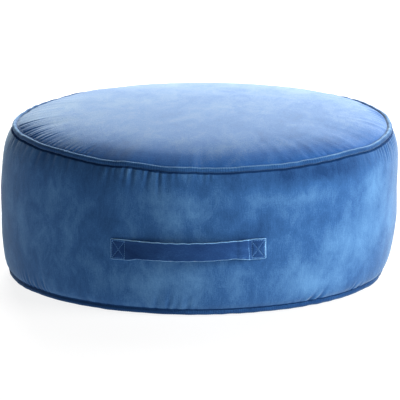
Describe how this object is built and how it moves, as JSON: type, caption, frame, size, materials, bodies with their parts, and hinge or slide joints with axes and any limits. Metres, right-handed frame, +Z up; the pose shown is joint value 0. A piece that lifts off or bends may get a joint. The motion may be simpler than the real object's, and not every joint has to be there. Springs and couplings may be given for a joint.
{
  "type": "floor cushion",
  "caption": "Round upholstered floor cushion with piped seams, a domed top, a sewn strap handle on the side and a zipped removable cover over a lined foam pad.",
  "frame": {"origin": "centre of the flat underside, on the floor", "axes": "+Z up through the middle of the top panel; the strap handle is on the -Y side and the zip on the +Y side"},
  "size_m": [0.5998, 0.6173, 0.256],
  "materials": {
    "velvet": "brushed cotton velvet, mid blue",
    "strap_velvet": "cotton velvet, mid blue, nap along the strap",
    "cotton_cord": "undyed twisted cotton",
    "webbing": "woven cotton webbing",
    "thread": "polyester thread",
    "zip_tape": "woven polyester tape",
    "zip_coil": "nylon coil",
    "zip_metal": "nickel-plated zinc",
    "calico": "plain calico",
    "wadding": "bonded polyester wadding",
    "foam": "cut polyurethane foam"
  },
  "bodies": {
    "cover": {"top_panel": "velvet", "side_band_front": "velvet", "side_band_rear_upper": "velvet", "side_band_rear_lower": "velvet", "bottom_panel": "velvet", "top_piping_cover": "velvet", "top_piping_cord": "cotton_cord", "bottom_piping_cover": "velvet", "bottom_piping_cord": "cotton_cord", "handle_end_left": "strap_velvet", "handle_end_right": "strap_velvet", "handle_end_left_webbing": "webbing", "handle_end_right_webbing": "webbing", "handle_stitching_left": "thread", "handle_stitching_right": "thread", "zip_tape_upper": "zip_tape", "zip_tape_lower": "zip_tape", "zip_coil_upper": "zip_coil", "zip_coil_lower": "zip_coil", "zip_end_stops": "zip_metal", "zip_stitching": "thread", "pad_liner_top": "calico", "pad_liner_band": "calico", "pad_liner_bottom": "calico", "pad_wadding_top": "wadding", "pad_wadding_side": "wadding", "pad_wadding_bottom": "wadding", "foam_core": "foam"},
    "strap": {"handle_grip": "strap_velvet", "handle_grip_webbing": "webbing"},
    "slider": {"zip_slider": "zip_metal"},
    "puller": {"zip_puller": "zip_metal"}
  },
  "joints": [
    {"name": "strap_lift", "type": "hinge", "parent": "cover", "child": "strap", "pos_m": [0, -0.28533, 0.12], "axis": [-1, 0, 0], "range_deg": [0, 40]},
    {"name": "zip_slide", "type": "hinge", "parent": "cover", "child": "slider", "pos_m": [0, 0, 0.122], "axis": [0, 0, 1], "range_deg": [0, 107]},
    {"name": "puller_swing", "type": "hinge", "parent": "slider", "child": "puller", "pos_m": [0.24358, 0.17827, 0.122], "axis": [0, 0, -1], "range_deg": [0, 170]}
  ]
}
